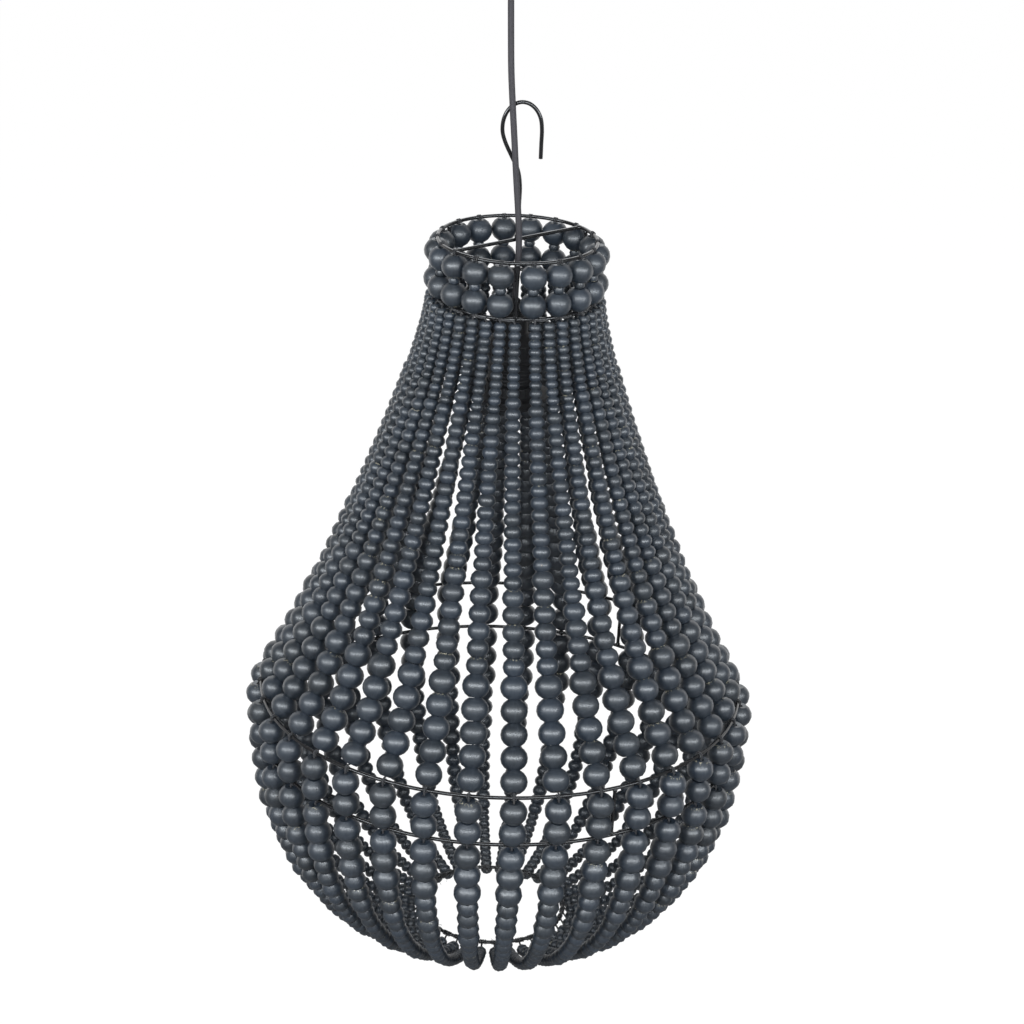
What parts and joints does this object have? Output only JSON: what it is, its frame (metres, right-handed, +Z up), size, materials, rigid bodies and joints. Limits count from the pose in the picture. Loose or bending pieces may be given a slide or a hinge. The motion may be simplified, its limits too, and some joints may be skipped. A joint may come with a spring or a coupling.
{
  "type": "beaded chandelier",
  "caption": "Pear-shaped beaded chandelier on wire rings with a hanging hook, a lamp holder on its cord and a ceiling cup.",
  "frame": {"origin": "the point where the wire hook hangs: the inside top of its bow, above the crossbar, on the shade's middle line", "axes": "+Z up along the shade's middle line, -Y the front that the picture shows, the hook's bow in the XZ plane"},
  "size_m": [0.4236, 0.4236, 0.8749],
  "materials": {
    "bead_wood": "satin charcoal paint on turned wood",
    "lacing_thread": "dark waxed thread with brown frays",
    "black_wire": "gloss black paint on steel wire",
    "black_plastic": "black moulded plastic, half gloss",
    "cord_sheath": "dark grey cable sheath, matt",
    "cup_paint": "satin black paint on pressed steel",
    "plain_steel": "zinc-plated steel",
    "contact_brass": "pressed brass",
    "white_ceramic": "unglazed off-white ceramic"
  },
  "bodies": {
    "shade": {"bead_run_01": "bead_wood", "bead_run_02": "bead_wood", "bead_run_03": "bead_wood", "bead_run_04": "bead_wood", "bead_run_05": "bead_wood", "bead_run_06": "bead_wood", "bead_run_07": "bead_wood", "bead_run_08": "bead_wood", "bead_run_09": "bead_wood", "bead_run_10": "bead_wood", "bead_run_11": "bead_wood", "bead_run_12": "bead_wood", "bead_run_13": "bead_wood", "bead_run_14": "bead_wood", "bead_run_15": "bead_wood", "bead_run_16": "bead_wood", "bead_run_17": "bead_wood", "bead_run_18": "bead_wood", "top_ring": "black_wire", "collar_ring": "black_wire", "upper_belly_ring": "black_wire", "lower_belly_ring": "black_wire", "bottom_ring": "black_wire", "crossbar": "black_wire", "collar_strut_1": "black_wire", "collar_strut_2": "black_wire", "collar_strut_3": "black_wire", "belly_strut_1": "black_wire", "belly_strut_2": "black_wire", "belly_strut_3": "black_wire", "hanging_hook": "black_wire", "cord": "cord_sheath", "cord_clamp": "black_plastic", "terminal_block": "white_ceramic", "ceiling_bracket": "plain_steel"},
    "holder": {"strain_relief": "black_plastic", "holder_cap": "black_plastic", "holder_body": "black_plastic", "contact_insert": "white_ceramic", "centre_contact": "contact_brass", "screw_shell": "contact_brass"},
    "ring_nut": {"shade_ring": "black_plastic"},
    "cup": {"ceiling_cup": "cup_paint", "cup_grip": "black_plastic"},
    "screw": {"cup_screw": "plain_steel"}
  },
  "joints": [
    {"name": "holder_swing", "type": "hinge", "parent": "shade", "child": "holder", "pos_m": [0, 0, -0.162], "axis": [0, 1, 0], "range_deg": [-15, 15]},
    {"name": "shade_ring_turn", "type": "hinge", "parent": "holder", "child": "ring_nut", "pos_m": [0, 0, -0.2315], "axis": [0, 0, 1], "continuous": true},
    {"name": "cup_slide", "type": "slide", "parent": "shade", "child": "cup", "axis": [0.0393, 0, -0.9992], "range_m": [0, 0.06]},
    {"name": "cup_screw_turn", "type": "hinge", "parent": "cup", "child": "screw", "pos_m": [-0.005, -0.005, 0.097], "axis": [1, 0, 0], "continuous": true}
  ]
}
